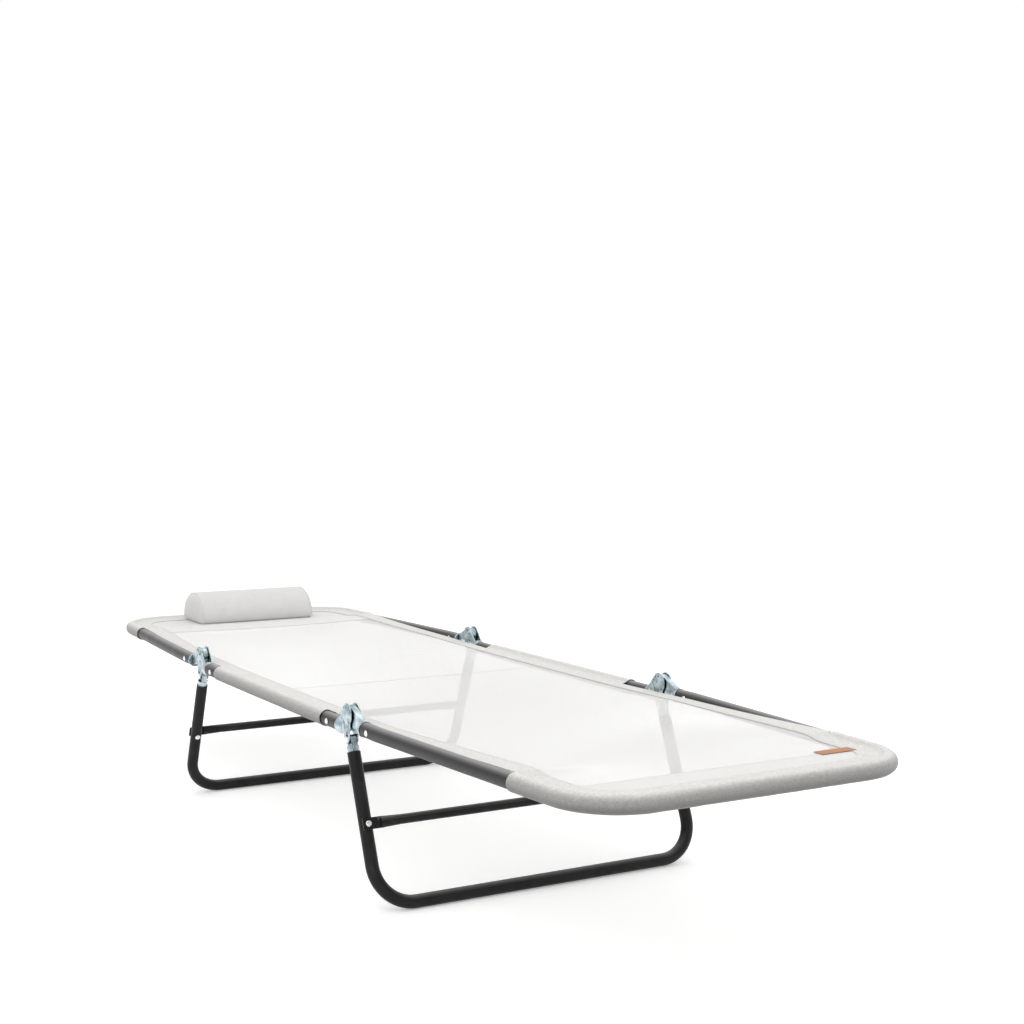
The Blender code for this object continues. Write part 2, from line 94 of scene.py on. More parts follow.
CLOTH = 0.0008
WRAP_RADIUS = 0.0124        # middle of the cloth round a tube
EDGE_INSET = 0.0150         # from a tube's centre line to the edge of the flat sheet
POCKET_EDGE_INSET = 0.0020  # the same where the sheet's bare edge meets a pocket
EDGE_RISE = 0.0050          # the sheet leaves the tubes this far above their centre lines
POCKET_EDGE_RISE = 0.0118   # the same where the sheet's bare edge meets a pocket
SLEEVE_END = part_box("middle_sleeve_right")[1].y
POCKET_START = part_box("head_pocket")[0].y
HEM = 0.026                 # width of the doubled edges along the sides
SEAM_Y = {"head": 0.700, "foot": 0.857}
ENDS = {"head": 1, "foot": -1}
SIDES = {"left": -1, "right": 1}


# Scene helpers

def link(thing):
    bpy.context.scene.collection.objects.link(thing)
    return thing


def mesh_object(name, mesh, material, smooth=True):
    mesh.materials.clear()
    mesh.materials.append(material)
    if smooth:
        mesh.shade_smooth()
        mesh.set_sharp_from_angle(angle=math.radians(50))
    thing = link(bpy.data.objects.new(name, mesh))
    return thing


def from_bmesh(work):
    mesh = bpy.data.meshes.new("part")
    work.normal_update()
    work.to_mesh(mesh)
    work.free()
    return mesh


def baked(thing):
    """The object's mesh with its modifiers worked out; the object is removed."""
    graph = bpy.context.evaluated_depsgraph_get()
    graph.update()
    mesh = bpy.data.meshes.new_from_object(thing.evaluated_get(graph))
    mesh.transform(thing.matrix_world)
    bpy.data.objects.remove(thing)
    return mesh


def thicken(mesh, thickness, offset=0.0):
    thing = link(bpy.data.objects.new("thicken", mesh))
    shell = thing.modifiers.new("thickness", "SOLIDIFY")
    shell.thickness = thickness
    shell.offset = offset
    return baked(thing)


def joined(meshes):
    work = bmesh.new()
    for mesh in meshes:
        work.from_mesh(mesh)
    return from_bmesh(work)


def moved(mesh, matrix):
    copy = mesh.copy()
    copy.transform(matrix)
    return copy


def hull_mesh(points):
    """The smallest convex solid round the points."""
    work = bmesh.new()
    for point in points:
        work.verts.new(point)
    bmesh.ops.convex_hull(work, input=work.verts)
    bmesh.ops.delete(work, geom=[v for v in work.verts if not v.link_faces], context="VERTS")
    return from_bmesh(work)


def facing_end(way):
    """Nothing for the head end, and half a turn about the cot's middle for the foot end."""
    return Matrix.Identity(4) if way > 0 else Matrix.Rotation(math.pi, 4, "Z")


def circle_places(radius, steps):
    """Even places (cosine side, sine side) round a circle."""
    angles = [2 * math.pi * step / steps for step in range(steps)]
    return [(radius * math.cos(angle), radius * math.sin(angle)) for angle in angles]


# Materials

class Nodes:
    """A small helper for building a node material from the Principled shader."""

    def __init__(self, name, colour, roughness, metallic=0.0):
        self.material = bpy.data.materials.new(name)
        self.material.use_nodes = True
        self.tree = self.material.node_tree
        self.shader = self.tree.nodes["Principled BSDF"]
        self.shader.inputs["Base Color"].default_value = (*colour, 1)
        self.shader.inputs["Roughness"].default_value = roughness
        self.shader.inputs["Metallic"].default_value = metallic
        self.coords = self.tree.nodes.new("ShaderNodeTexCoord").outputs["Object"]

    def node(self, kind, inputs=None, **settings):
        made = self.tree.nodes.new("ShaderNode" + kind)
        for key, value in settings.items():
            setattr(made, key, value)
        for key, value in (inputs or {}).items():
            self.feed(made.inputs[key], value)
        return made

    def feed(self, socket, value):
        if isinstance(value, bpy.types.NodeSocket):
            self.tree.links.new(value, socket)
        else:
            socket.default_value = value

    def set(self, name, value):
        self.feed(self.shader.inputs[name], value)

    def noise(self, scale, detail=3.0, roughness=0.5):
        inputs = {"Vector": self.coords, "Scale": scale, "Detail": detail,
                  "Roughness": roughness}
        return self.node("TexNoise", inputs).outputs["Fac"]

    def up(self):
        """How far the surface faces up: 1 on top of a piece, -1 underneath it."""
        normal = self.node("NewGeometry").outputs["Normal"]
        return self.node("SeparateXYZ", {"Vector": normal}).outputs["Z"]

    def maths(self, operation, *values):
        made = self.node("Math", operation=operation)
        for socket, value in zip(made.inputs, values):
            self.feed(socket, value)
        return made.outputs[0]

    def remap(self, value, low, high, to_low, to_high):
        inputs = {"Value": value, "From Min": low, "From Max": high, "To Min": to_low,
                  "To Max": to_high}
        return self.node("MapRange", inputs).outputs["Result"]

    def ramp(self, value, stops):
        made = self.node("ValToRGB", {"Fac": value})
        first, last = made.color_ramp.elements
        for element, (place, colour) in ((first, stops[0]), (last, stops[-1])):
            element.position = place
            element.color = (*colour, 1)
        for place, colour in stops[1:-1]:
            made.color_ramp.elements.new(place).color = (*colour, 1)
        return made.outputs["Color"]

    def bump(self, height, distance, strength=1.0):
        inputs = {"Height": height, "Distance": distance, "Strength": strength}
        normal = self.node("Bump", inputs).outputs["Normal"]
        self.set("Normal", normal)

    def weave(self, pitch):
        """Height of a plain weave with threads pitch apart, and 0..1 in its holes."""
        split = self.node("SeparateXYZ", {"Vector": self.coords})
        turn = 2 * math.pi / pitch
        across = self.maths("SINE", self.maths("MULTIPLY", split.outputs["X"], turn))
        along = self.maths("SINE", self.maths("MULTIPLY", split.outputs["Y"], turn))
        over = self.maths("MULTIPLY", across, along)
        holes = self.maths("MULTIPLY", self.maths("ABSOLUTE", across),
                           self.maths("ABSOLUTE", along))
        return over, holes


def powder_coat(name, gloss, painted_top_light):
    """Black powder coat; gloss is the strength of its reflections, the last argument the grey of a painted
    highlight on its top.
    """
    nodes = Nodes(name, (0.010, 0.010, 0.011), 0.36)
    grain = nodes.noise(1400, 2)
    wear = nodes.noise(26, 5, 0.65)
    colour = nodes.ramp(wear, [(0.35, (0.007, 0.007, 0.008)), (0.62, (0.012, 0.012, 0.013)),
                               (0.80, (0.030, 0.030, 0.031))])
    # Painted highlight: grey added to the colour where the tube faces up, standing in for light from above.
    painted_top_light_colour = nodes.ramp(nodes.up(), [(0.50, (0, 0, 0)), (0.75, (0.3 * painted_top_light,) * 3), (0.97, (painted_top_light,) * 3)])
    colour_with_painted_top_light = nodes.node("VectorMath", {0: colour, 1: painted_top_light_colour}, operation="ADD")
    nodes.set("Base Color", colour_with_painted_top_light.outputs["Vector"])
    nodes.set("Roughness", nodes.remap(wear, 0.3, 0.75, 0.33, 0.50))
    nodes.set("Specular IOR Level", gloss)
    nodes.bump(grain, 0.00012, 0.35)
    return nodes.material


def zinc_plate():
    nodes = Nodes("zinc_plate_blue", (0.70, 0.76, 0.80), 0.24, 1.0)
    cloud = nodes.noise(90, 4, 0.6)
    # Blotchy blue-grey tone: partly the plating's own patchy tone, partly painted reflection, its dark
    # patches standing in for dark things reflected in the metal.
    colour = nodes.ramp(cloud, [(0.30, (0.20, 0.27, 0.31)), (0.46, (0.36, 0.44, 0.48)),
                                (0.64, (0.55, 0.63, 0.66))])
    # Painted shade: the colour is darkened in hollows and grooves, by how much of the surroundings each
    # point sees.
    crevice = nodes.node("AmbientOcclusion", {"Distance": 0.009}, samples=8).outputs["AO"]
    painted_crevice_shade = nodes.remap(crevice, 0.35, 0.95, 0.06, 1.0)
    shaded = nodes.node("VectorMath", {0: colour, 1: painted_crevice_shade}, operation="MULTIPLY")
    nodes.set("Base Color", shaded.outputs["Vector"])
    nodes.set("Roughness", nodes.remap(nodes.noise(240, 3), 0.3, 0.7, 0.12, 0.30))
    nodes.bump(nodes.noise(420, 3), 0.0004, 0.6)
    return nodes.material


def bright_steel():
    nodes = Nodes("rivet_steel_bright", (0.83, 0.83, 0.82), 0.22, 1.0)
    nodes.set("Roughness", nodes.remap(nodes.noise(300, 3), 0.3, 0.7, 0.16, 0.34))
    nodes.set("Base Color", nodes.ramp(nodes.noise(120, 3), [(0.3, (0.72, 0.72, 0.71)),
                                                             (0.7, (0.90, 0.90, 0.89))]))
    nodes.bump(nodes.noise(700, 2), 0.0001, 0.4)
    return nodes.material


def mesh_cloth(name, light, shade, clear):
    """Coated mesh cloth; clear is how much light passes through its holes."""
    nodes = Nodes(name, light, 0.78)
    over, holes = nodes.weave(0.0018)
    tone = nodes.maths("MULTIPLY_ADD", over, 0.5, 0.5)
    cloud = nodes.noise(14, 4, 0.6)
    mixed = nodes.maths("ADD", nodes.maths("MULTIPLY", tone, 0.6),
                        nodes.maths("MULTIPLY", cloud, 0.4))
    nodes.set("Base Color", nodes.ramp(mixed, [(0.15, shade), (0.75, light)]))
    nodes.set("Roughness", nodes.remap(cloud, 0.3, 0.7, 0.70, 0.86))
    nodes.set("Sheen Weight", 0.15)
    nodes.set("Sheen Roughness", 0.5)
    nodes.set("Alpha", nodes.remap(holes, 0.0, 0.9, 1.0, 1.0 - 2 * clear))
    nodes.bump(over, 0.00030, 0.5)
    return nodes.material


def wrapped_cloth():
    """The same cloth, doubled and sewn round a tube: no light passes, and it looks mottled."""
    nodes = Nodes("mesh_cloth_wrapped", (0.56, 0.55, 0.52), 0.82)
    fine = nodes.noise(460, 3, 0.7)
    mottle = nodes.noise(170, 4, 0.6)
    tone = nodes.maths("ADD", nodes.maths("MULTIPLY", fine, 0.65),
                       nodes.maths("MULTIPLY", mottle, 0.35))
    colour = nodes.ramp(tone, [(0.32, (0.47, 0.46, 0.435)), (0.50, (0.60, 0.59, 0.565)),
                               (0.68, (0.74, 0.73, 0.705))])
    # Painted shade: the cloth is darker on its sides and underside than on its top, by the way it faces in
    # the world.
    shades = [(-0.6, 0.20), (-0.3, 0.27), (0.0, 0.37), (0.4, 0.47), (0.7, 0.66), (0.96, 0.98)]
    painted_shade_by_facing = nodes.ramp(nodes.remap(nodes.up(), -1, 1, 0, 1), [((n + 1) / 2, (s, s, s)) for n, s in shades])
    shaded = nodes.node("VectorMath", {0: colour, 1: painted_shade_by_facing}, operation="MULTIPLY")
    nodes.set("Base Color", shaded.outputs["Vector"])
    nodes.set("Roughness", nodes.remap(mottle, 0.3, 0.7, 0.74, 0.90))
    nodes.set("Sheen Weight", 0.20)
    nodes.set("Sheen Roughness", 0.5)
    nodes.bump(fine, 0.0004, 0.6)
    return nodes.material


def pillow_cloth():
    nodes = Nodes("pillow_cloth_grey", (0.60, 0.595, 0.59), 0.88)
    fuzz = nodes.noise(700, 4, 0.7)
    cloud = nodes.noise(40, 4, 0.6)
    tone = nodes.maths("ADD", nodes.maths("MULTIPLY", fuzz, 0.5),
                       nodes.maths("MULTIPLY", cloud, 0.5))
    nodes.set("Base Color", nodes.ramp(tone, [(0.35, (0.555, 0.545, 0.54)),
                                              (0.65, (0.61, 0.605, 0.60))]))
    nodes.set("Roughness", nodes.remap(cloud, 0.3, 0.7, 0.82, 0.94))
    nodes.set("Sheen Weight", 0.35)
    nodes.set("Sheen Roughness", 0.4)
    nodes.bump(fuzz, 0.0004, 0.5)
    return nodes.material


def tan_leather():
    nodes = Nodes("tan_leather", (0.40, 0.17, 0.08), 0.55)
    pores = nodes.node("TexVoronoi", {"Vector": nodes.coords, "Scale": 900}).outputs["Distance"]
    cloud = nodes.noise(60, 5, 0.65)
    nodes.set("Base Color", nodes.ramp(cloud, [(0.30, (0.33, 0.135, 0.052)),
                                               (0.70, (0.45, 0.185, 0.078))]))
    nodes.set("Roughness", nodes.remap(cloud, 0.3, 0.7, 0.45, 0.65))
    nodes.bump(pores, 0.0003, 0.6)
    return nodes.material


black = powder_coat("powder_coat_black", 0.38, 0.18)
leg_black = powder_coat("powder_coat_black_leg", 0.18, 0.10)
zinc = zinc_plate()
steel = bright_steel()
sheet_cloth = mesh_cloth("mesh_cloth_white", (0.785, 0.78, 0.77), (0.73, 0.725, 0.715), 0.42)
double_cloth = mesh_cloth("mesh_cloth_doubled", (0.78, 0.775, 0.76), (0.72, 0.715, 0.70), 0.13)
wrap_cloth = wrapped_cloth()
thread = mesh_cloth("stitch_thread", (0.62, 0.61, 0.59), (0.50, 0.49, 0.47), 0.0)
pillow_grey = pillow_cloth()
tan = tan_leather()

for node, thing in frame["nodes"].items():
    finish = steel if "leg_pin" in node or "rivet" in node else zinc
    if any(word in node for word in ("hub", "arm", "bracket", "pin", "rivet")):
        thing.data.materials.clear()
        thing.data.materials.append(finish)


# Tubes

def u_path(start, straight, length, half_width, end_half_width, corner, arc_steps=20):
    """Points (x, s) of a U: s runs from the open ends at start to the closed end at length."""
    knee = Vector((half_width, straight))
    tip = Vector((end_half_width, length))
    side = (tip - knee).normalized()
    turn = side.angle(Vector((-1, 0)))
    begin = tip - side * corner * math.tan(turn / 2)
    centre = begin + Vector((-side.y, side.x)) * corner
    half = [(half_width, start)]
    if straight > start:
        half.append(tuple(knee))
    for step in range(arc_steps + 1):
        arm = Matrix.Rotation(turn * step / arc_steps, 2) @ (begin - centre)
        half.append(tuple(centre + arm))
    return half + [(-x, s) for x, s in reversed(half)]


def end_width(y):
    """Half the distance between an end frame's side tubes at a distance y from the middle."""
    share = (y - PIVOT_Y - STRAIGHT_PART) / (END_BAR_Y - PIVOT_Y - STRAIGHT_PART)
    return RAIL_X + (END_HALF_WIDTH - RAIL_X) * max(0, share)


def tube_mesh(points, radius, sides=28):
    """A round tube along points, with closed ends."""
    curve = bpy.data.curves.new("route", "CURVE")
    curve.dimensions = "3D"
    curve.bevel_depth = radius
    curve.bevel_resolution = (sides - 4) // 2
    curve.use_fill_caps = True
    line = curve.splines.new("POLY")
    line.points.add(len(points) - 1)
    for point, place in zip(line.points, points):
        point.co = (*place, 1)
    work = bmesh.new()
    work.from_mesh(baked(link(bpy.data.objects.new("route", curve))))
    bmesh.ops.remove_doubles(work, verts=work.verts, dist=1e-6)
    bmesh.ops.recalc_face_normals(work, faces=work.faces)
    mesh = from_bmesh(work)
    mesh.shade_smooth()
    mesh.set_sharp_from_angle(angle=math.radians(40))
    return mesh


def add_tube(name, points, radius, body, node, paint):
    mesh = tube_mesh(points, radius)
    mesh.materials.append(paint)
    tube = link(bpy.data.objects.new(name, mesh))
    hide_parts(node)
    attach(tube, body)


LEG_LENGTH = (LEG_PIVOT_Z - LEG_RADIUS) / math.cos(LEG_SPLAY)
CROSSBAR_Z = 0.121
CROSSBAR_DOWN = (LEG_PIVOT_Z - CROSSBAR_Z) / math.cos(LEG_SPLAY)    # along the leg, from its pivot
CROSSBAR_RADIUS = 0.0075
CROSSBAR_OUT = 0.0133       # its centre line, outward from the leg's
TAB_FACES = (0.0103, 0.0134)
TAB_HALF_HEIGHT = 0.0086
ROUND_END = 0.048           # from a leg's centre line to where the crossbar is still round
FLAT_END = 0.014            # and to where it is all flat


def crossbar_tapers():
    """Where the crossbar's round tube flattens into its two tabs, along a leg's directions."""
    tapers = []
    for side in SIDES.values():
        flat = [(side * (RAIL_X - FLAT_END), out, up) for out in TAB_FACES
                for up in (-TAB_HALF_HEIGHT, TAB_HALF_HEIGHT)]
        round_end = [(side * (RAIL_X - ROUND_END), CROSSBAR_OUT + out, up)
                     for out, up in circle_places(CROSSBAR_RADIUS, 32)]
        tapers.append(hull_mesh(flat + round_end))
    return joined(tapers)


for end, way in ENDS.items():
    path = u_path(END_TUBE_START - PIVOT_Y, STRAIGHT_PART, END_BAR_Y - PIVOT_Y, RAIL_X,
                  END_HALF_WIDTH, END_CORNER)
    points = [(x, way * (PIVOT_Y + s), RAIL_Z) for x, s in path]
    add_tube(end + "_frame_tube_fine", points, RAIL_RADIUS, end, end + "_frame_tube", black)
    path = u_path(LEG_TUBE_START, LEG_TUBE_START, LEG_LENGTH, RAIL_X, RAIL_X, LEG_CORNER)
    points = [(x, way * (LEG_PIVOT_Y + s * math.sin(LEG_SPLAY)),
               LEG_PIVOT_Z - s * math.cos(LEG_SPLAY)) for x, s in path]
    add_tube(end + "_leg_tube_fine", points, LEG_RADIUS, end + "_leg", end + "_leg_tube",
             leg_black)
    bar = frame["nodes"][end + "_crossbar"]
    bar.data.materials.clear()
    bar.data.materials.append(leg_black)
    down = Vector((0, LEG_PIVOT_Y + CROSSBAR_DOWN * math.sin(LEG_SPLAY),
                   LEG_PIVOT_Z - CROSSBAR_DOWN * math.cos(LEG_SPLAY)))
    place = facing_end(way) @ Matrix.Translation(down) @ Matrix.Rotation(LEG_SPLAY, 4, "X")
    tapers = mesh_object(end + "_crossbar_tapers", moved(crossbar_tapers(), place), leg_black)
    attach(tapers, end + "_leg")

for side_name, side in SIDES.items():
    points = [(side * RAIL_X, y, MIDDLE_RAIL_Z) for y in (-RAIL_END, RAIL_END)]
    add_tube(f"middle_rail_{side_name}_fine", points, RAIL_RADIUS, "middle",
             f"middle_rail_{side_name}", black)


# Pressed hinges: each hub as one cast-looking shell with its ribs, cup and dimples

HUB_PLATE = (0.0060, 0.0083)    # inner and outer face of a hub's side plate
SOCKET_Z = MIDDLE_RAIL_Z - PIVOT_Z
LEG_Z = LEG_PIVOT_Z - PIVOT_Z
CUP_Y = -(PIVOT_Y - RAIL_END) + 0.0070
DISC = 0.0165


def hull_solid(circles, faces):
    """A plate between two x values, round the (y, z, radius) circles."""
    return hull_mesh([(x, y + across, z + up) for y, z, radius in circles
                      for across, up in circle_places(radius, 32) for x in faces])


def ellipsoid(centre, radii, segments=32):
    work = bmesh.new()
    bmesh.ops.create_uvsphere(work, u_segments=segments, v_segments=segments // 2, radius=1)
    bmesh.ops.scale(work, verts=work.verts, vec=radii)
    bmesh.ops.translate(work, verts=work.verts, vec=centre)
    return from_bmesh(work)


def groove(start, stop, radius=0.0021):
    """A capsule-ended cutter between two points."""
    return tube_mesh([start, stop], radius, 12)


def hub_shell():
    """One hub with its main pivot at the origin, its rail towards -Y and its leg below."""
    solids = []
    for side in SIDES.values():
        faces = sorted(side * x for x in HUB_PLATE)
        shoulder = (CUP_Y + 0.004, SOCKET_Z, 0.0100)
        heel = (-0.0105, LEG_Z + 0.0130, 0.0030)
        solids.append(hull_solid([(0, 0, DISC), shoulder, heel], faces))
        solids.append(hull_solid([(0, 0, 0.8 * DISC), heel, (0, LEG_Z, 0.0070)], faces))
        solids.append(ellipsoid((side * 0.0082, 0, 0), (0.0034, 0.0140, 0.0140)))
        solids.append(ellipsoid((side * 0.0084, 0, 0.52 * LEG_Z), (0.0024, 0.0046, 0.0185)))
    solids.append(ellipsoid((0, CUP_Y, SOCKET_Z), (0.0134, 0.0125, 0.0134)))
    thing = link(bpy.data.objects.new("hub", joined(solids)))
    remesh = thing.modifiers.new("remesh", "REMESH")
    remesh.mode = "VOXEL"
    remesh.voxel_size = 0.00065
    smooth = thing.modifiers.new("smooth", "SMOOTH")
    smooth.iterations = 4
    shell = link(bpy.data.objects.new("hub", baked(thing)))
    cutters = []
    for side in SIDES.values():
        face = side * (HUB_PLATE[1] + 0.0010)
        for lean in (-1, 1):
            top = (face, lean * 0.0100, -0.0090)
            cutters.append(groove(top, (face, lean * 0.0030, LEG_Z + 0.0050)))
        for degrees in (160, 118, 78):
            angle = math.radians(degrees)
            hole = (side * (HUB_PLATE[1] + 0.0022), 0.0112 * math.cos(angle),
                    0.0112 * math.sin(angle))
            cutters.append(ellipsoid(hole, (0.0026, 0.0016, 0.0016), 12))
    tool = link(bpy.data.objects.new("cutters", joined(cutters)))
    cut = shell.modifiers.new("cut", "BOOLEAN")
    cut.operation = "DIFFERENCE"
    cut.object = tool
    lighter = shell.modifiers.new("lighter", "DECIMATE")
    lighter.ratio = 0.45
    mesh = baked(shell)
    bpy.data.objects.remove(tool)
    return mesh


hub_mesh = hub_shell()
for end, way in ENDS.items():
    for side_name, side in SIDES.items():
        place = Matrix.Translation((side * RAIL_X, way * PIVOT_Y, PIVOT_Z)) @ facing_end(way)
        hub = mesh_object(f"{end}_{side_name}_hub_pressed", moved(hub_mesh, place), zinc)
        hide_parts(f"{end}_{side_name}_hub")
        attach(hub, "middle")


# The sheet: one cloth from head to foot, simulated whole, then split at the middle of the cot

HEM_COLUMNS = 4
INNER_COLUMNS = 52
ROW = 0.0080
SETTLE_FRAMES = 24
EDGE_TUCK = 0.012           # length over which the bare edge slips into a pocket

# Heights of sewn-on cloth above the sheet, in thicknesses of cloth
ON_SHEET = 0.9
ON_DOUBLED = 1.7
UNDER_FLAP = 0.4


def bare_share(y):
    """0 at the end of a sleeve, 1 at the start of a pocket, at a distance y from the middle."""
    return min(1, max(0, (y - SLEEVE_END) / (POCKET_START - SLEEVE_END)))


def on_top(y):
    """How far the bare edge has come up over the tube: 0 at a sleeve, most just before a pocket."""
    tucked_in = min(1, max(0, (y - POCKET_START + EDGE_TUCK / 3) / EDGE_TUCK))
    return bare_share(y) ** 2 * (1 - tucked_in)


def edge_inset(y):
    """From a side tube's centre line to the sheet's edge."""
    share = on_top(y)
    return EDGE_INSET + (POCKET_EDGE_INSET - EDGE_INSET) * share


def sheet_half_width(y):
    """Half the flat sheet's width at a distance y from the middle of the cot."""
    inner_end = END_BAR_Y - EDGE_INSET
    width = end_width(y) - edge_inset(y)
    corner = END_CORNER - EDGE_INSET
    into = y - (inner_end - corner)
    if into > 0:
        width -= corner - math.sqrt(max(0, corner * corner - into * into))
    return width


def sheet_height(y):
    """Height of the sheet's edges at a distance y from the middle of the cot."""
    share = bare_share(y)
    rise = EDGE_RISE + (POCKET_EDGE_RISE - EDGE_RISE) * on_top(y)
    return MIDDLE_RAIL_Z + (RAIL_Z - MIDDLE_RAIL_Z) * share + rise


def sheet_columns(half, y):
    """Places across the sheet: even steps in each doubled edge, and even steps between."""
    hem = min(HEM + EDGE_INSET - edge_inset(y), 0.4 * half)
    outer = [half - hem * i / HEM_COLUMNS for i in range(HEM_COLUMNS)]
    inner = half - hem
    middle = [inner - 2 * inner * i / INNER_COLUMNS for i in range(INNER_COLUMNS + 1)]
    return [-x for x in outer] + [-x for x in middle] + [x for x in reversed(outer)]


def sheet_rows():
    end = END_BAR_Y - EDGE_INSET
    steps = round(end / ROW)
    return [end * i / steps for i in range(-steps, steps + 1)]


def grid_mesh(rows):
    """Mesh of a grid from rows of points."""
    mesh = bpy.data.meshes.new("grid")
    across = len(rows[0])
    points = [p for row in rows for p in row]
    faces = []
    for r in range(len(rows) - 1):
        for c in range(across - 1):
            a = r * across + c
            faces.append((a, a + 1, a + across + 1, a + across))
    mesh.from_pydata(points, [], faces)
    return mesh


def settled_sheet():
    """Rows of points of the whole sheet, hung from the tubes under its own weight."""
    ys = sheet_rows()
    rows = []
    for y in ys:
        z = sheet_height(abs(y))
        rows.append([(x, y, z) for x in sheet_columns(sheet_half_width(abs(y)), abs(y))])
    across = len(rows[0])
    thing = link(bpy.data.objects.new("settling", grid_mesh(rows)))
    pins = thing.vertex_groups.new(name="held")
    for r, y in enumerate(ys):
        end_row = r in (0, len(ys) - 1)
        kept = range(across) if end_row else (0, across - 1)
        pins.add([r * across + c for c in kept], 1.0, "REPLACE")
    cloth = thing.modifiers.new("cloth", "CLOTH")
    cloth.settings.quality = 5
    cloth.settings.mass = 0.02
    cloth.settings.tension_stiffness = 60
    cloth.settings.compression_stiffness = 60
    cloth.settings.shear_stiffness = 25
    cloth.settings.bending_stiffness = 4
    cloth.settings.shrink_min = 0.004
    cloth.settings.air_damping = 4
    cloth.settings.vertex_group_mass = "held"
    cloth.point_cache.frame_end = SETTLE_FRAMES
    for number in range(1, SETTLE_FRAMES + 1):
        bpy.context.scene.frame_set(number)
    mesh = baked(thing)
    points = [tuple(v.co) for v in mesh.vertices]
    return ys, [points[r * across:(r + 1) * across] for r in range(len(ys))]


ys, sheet_points = settled_sheet()
middle_row = len(ys) // 2


def surface_height(x, y):
    """Height of the settled sheet at a place."""
    place = (y - ys[0]) / (ys[1] - ys[0])
    row = min(max(int(place), 0), len(ys) - 2)
    near, far = (np.interp(x, [p[0] for p in points], [p[2] for p in points])
                 for points in sheet_points[row:row + 2])
    return float(near + (far - near) * (place - row))


def bend_with(piece):
    """Fabric placed once: its placement is baked into its mesh, and nothing ties it to the middle section
    or an end frame.
    """
    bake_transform(piece)


def lifted(rows, rise):
    return [[(x, y, z + rise) for x, y, z in row] for row in rows]


def even_steps(points, step):
    """The polyline resampled at even steps."""
    lengths = [0.0]
    for a, b in zip(points, points[1:]):
        lengths.append(lengths[-1] + (Vector(b) - Vector(a)).length)
    count = max(2, round(lengths[-1] / step))
    targets = np.linspace(0, lengths[-1], count + 1)
    columns = [np.interp(targets, lengths, [p[i] for p in points]) for i in range(3)]
    return [Vector(p) for p in zip(*columns)]


STITCH_LENGTH = 0.0034
STITCH_PITCH = 0.0048
STITCH_RADIUS = 0.00035


def stitch_line_x(y):
    """How far from the middle of the bed a side hem's stitches run."""
    return end_width(max(y, PIVOT_Y + STRAIGHT_PART)) - EDGE_INSET - HEM + 0.0030


def stitch_rows(runs):
    """Short raised threads laid end to end along each run of points."""
    work = bmesh.new()
    for run in runs:
        places = even_steps(run, STITCH_PITCH)
        for a, b in zip(places, places[1:]):
            along = (b - a).normalized()
            across = along.cross(Vector((0, 0, 1))).normalized() * STITCH_RADIUS
            rise = Vector((0, 0, STITCH_RADIUS))
            tips = [work.verts.new(a), work.verts.new(a + along * STITCH_LENGTH)]
            middle = a + along * STITCH_LENGTH / 2
            ring = [work.verts.new(middle + way) for way in (across, rise, -across, -rise)]
            for k in range(4):
                pair = (ring[k], ring[(k + 1) % 4])
                work.faces.new((tips[0], pair[1], pair[0]))
                work.faces.new((tips[1], pair[0], pair[1]))
    bmesh.ops.recalc_face_normals(work, faces=work.faces)
    return from_bmesh(work)


for end, way in ENDS.items():
    order = range(middle_row, len(ys)) if way > 0 else range(middle_row, -1, -1)
    half_rows = [sheet_points[r] for r in order]
    half_ys = [abs(ys[r]) for r in order]
    if way < 0:
        half_rows = [list(reversed(row)) for row in half_rows]
    mesh = thicken(grid_mesh(half_rows), CLOTH)
    sheet = mesh_object(f"{end}_sheet", mesh, sheet_cloth)
    nodes = [f"{end}_panel", f"{end}_bridge"] + (["middle_panel"] if end == "head" else [])
    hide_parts(*nodes)
    bend_with(sheet)
    2 * sheet_half_width(0)

    # Doubled cloth: the turned-in end, and the hems along both bare edges
    seam_row = min(range(len(half_ys)), key=lambda r: abs(half_ys[r] - SEAM_Y[end]))
    turned_in = thicken(grid_mesh(lifted(half_rows[seam_row:], CLOTH * ON_SHEET)), CLOTH * 0.8)
    turned_in = mesh_object(f"{end}_turned_in", turned_in, double_cloth)
    bend_with(turned_in)
    bare_rows = [r for r, y in enumerate(half_ys) if SLEEVE_END - 0.010 < y < POCKET_START + 0.010]
    strips = []
    for columns in (slice(0, HEM_COLUMNS + 1), slice(-HEM_COLUMNS - 1, None)):
        strip = []
        for r in bare_rows:
            layers = ON_DOUBLED if r >= seam_row else ON_SHEET
            if not SLEEVE_END < half_ys[r] < POCKET_START:
                layers = UNDER_FLAP
            strip.append([(x, y, z + CLOTH * layers) for x, y, z in half_rows[r][columns]])
        strips.append(thicken(grid_mesh(strip), CLOTH * 0.8))
    hem = mesh_object(f"{end}_hem", joined(strips), wrap_cloth)
    bend_with(hem)

    # Stitches: one row across the turned-in end, and one along each side's hem
    def on_sheet(x, y):
        layers = 2.5 if abs(y) > SEAM_Y[end] - ROW else 1.6
        return Vector((x, y, surface_height(x, y) + CLOTH * layers))

    stitch_y = way * (half_ys[seam_row] + 0.0025)
    reach = sheet_half_width(half_ys[seam_row]) - HEM
    runs = [[on_sheet(x, stitch_y) for x in np.linspace(-reach, reach, 40)]]
    for side in SIDES.values():
        along = np.linspace(0.004, END_BAR_Y - END_CORNER, 90)
        runs.append([on_sheet(side * stitch_line_x(y), way * y) for y in along])
    stitching = mesh_object(f"{end}_stitches", stitch_rows(runs), thread)
    bend_with(stitching)

# Cloth sewn round the tubes

ROUND_STEPS = 26
FLAP_INSETS = [EDGE_INSET + HEM * share for share in (1.0, 0.75, 0.5, 0.25, 0.08)]


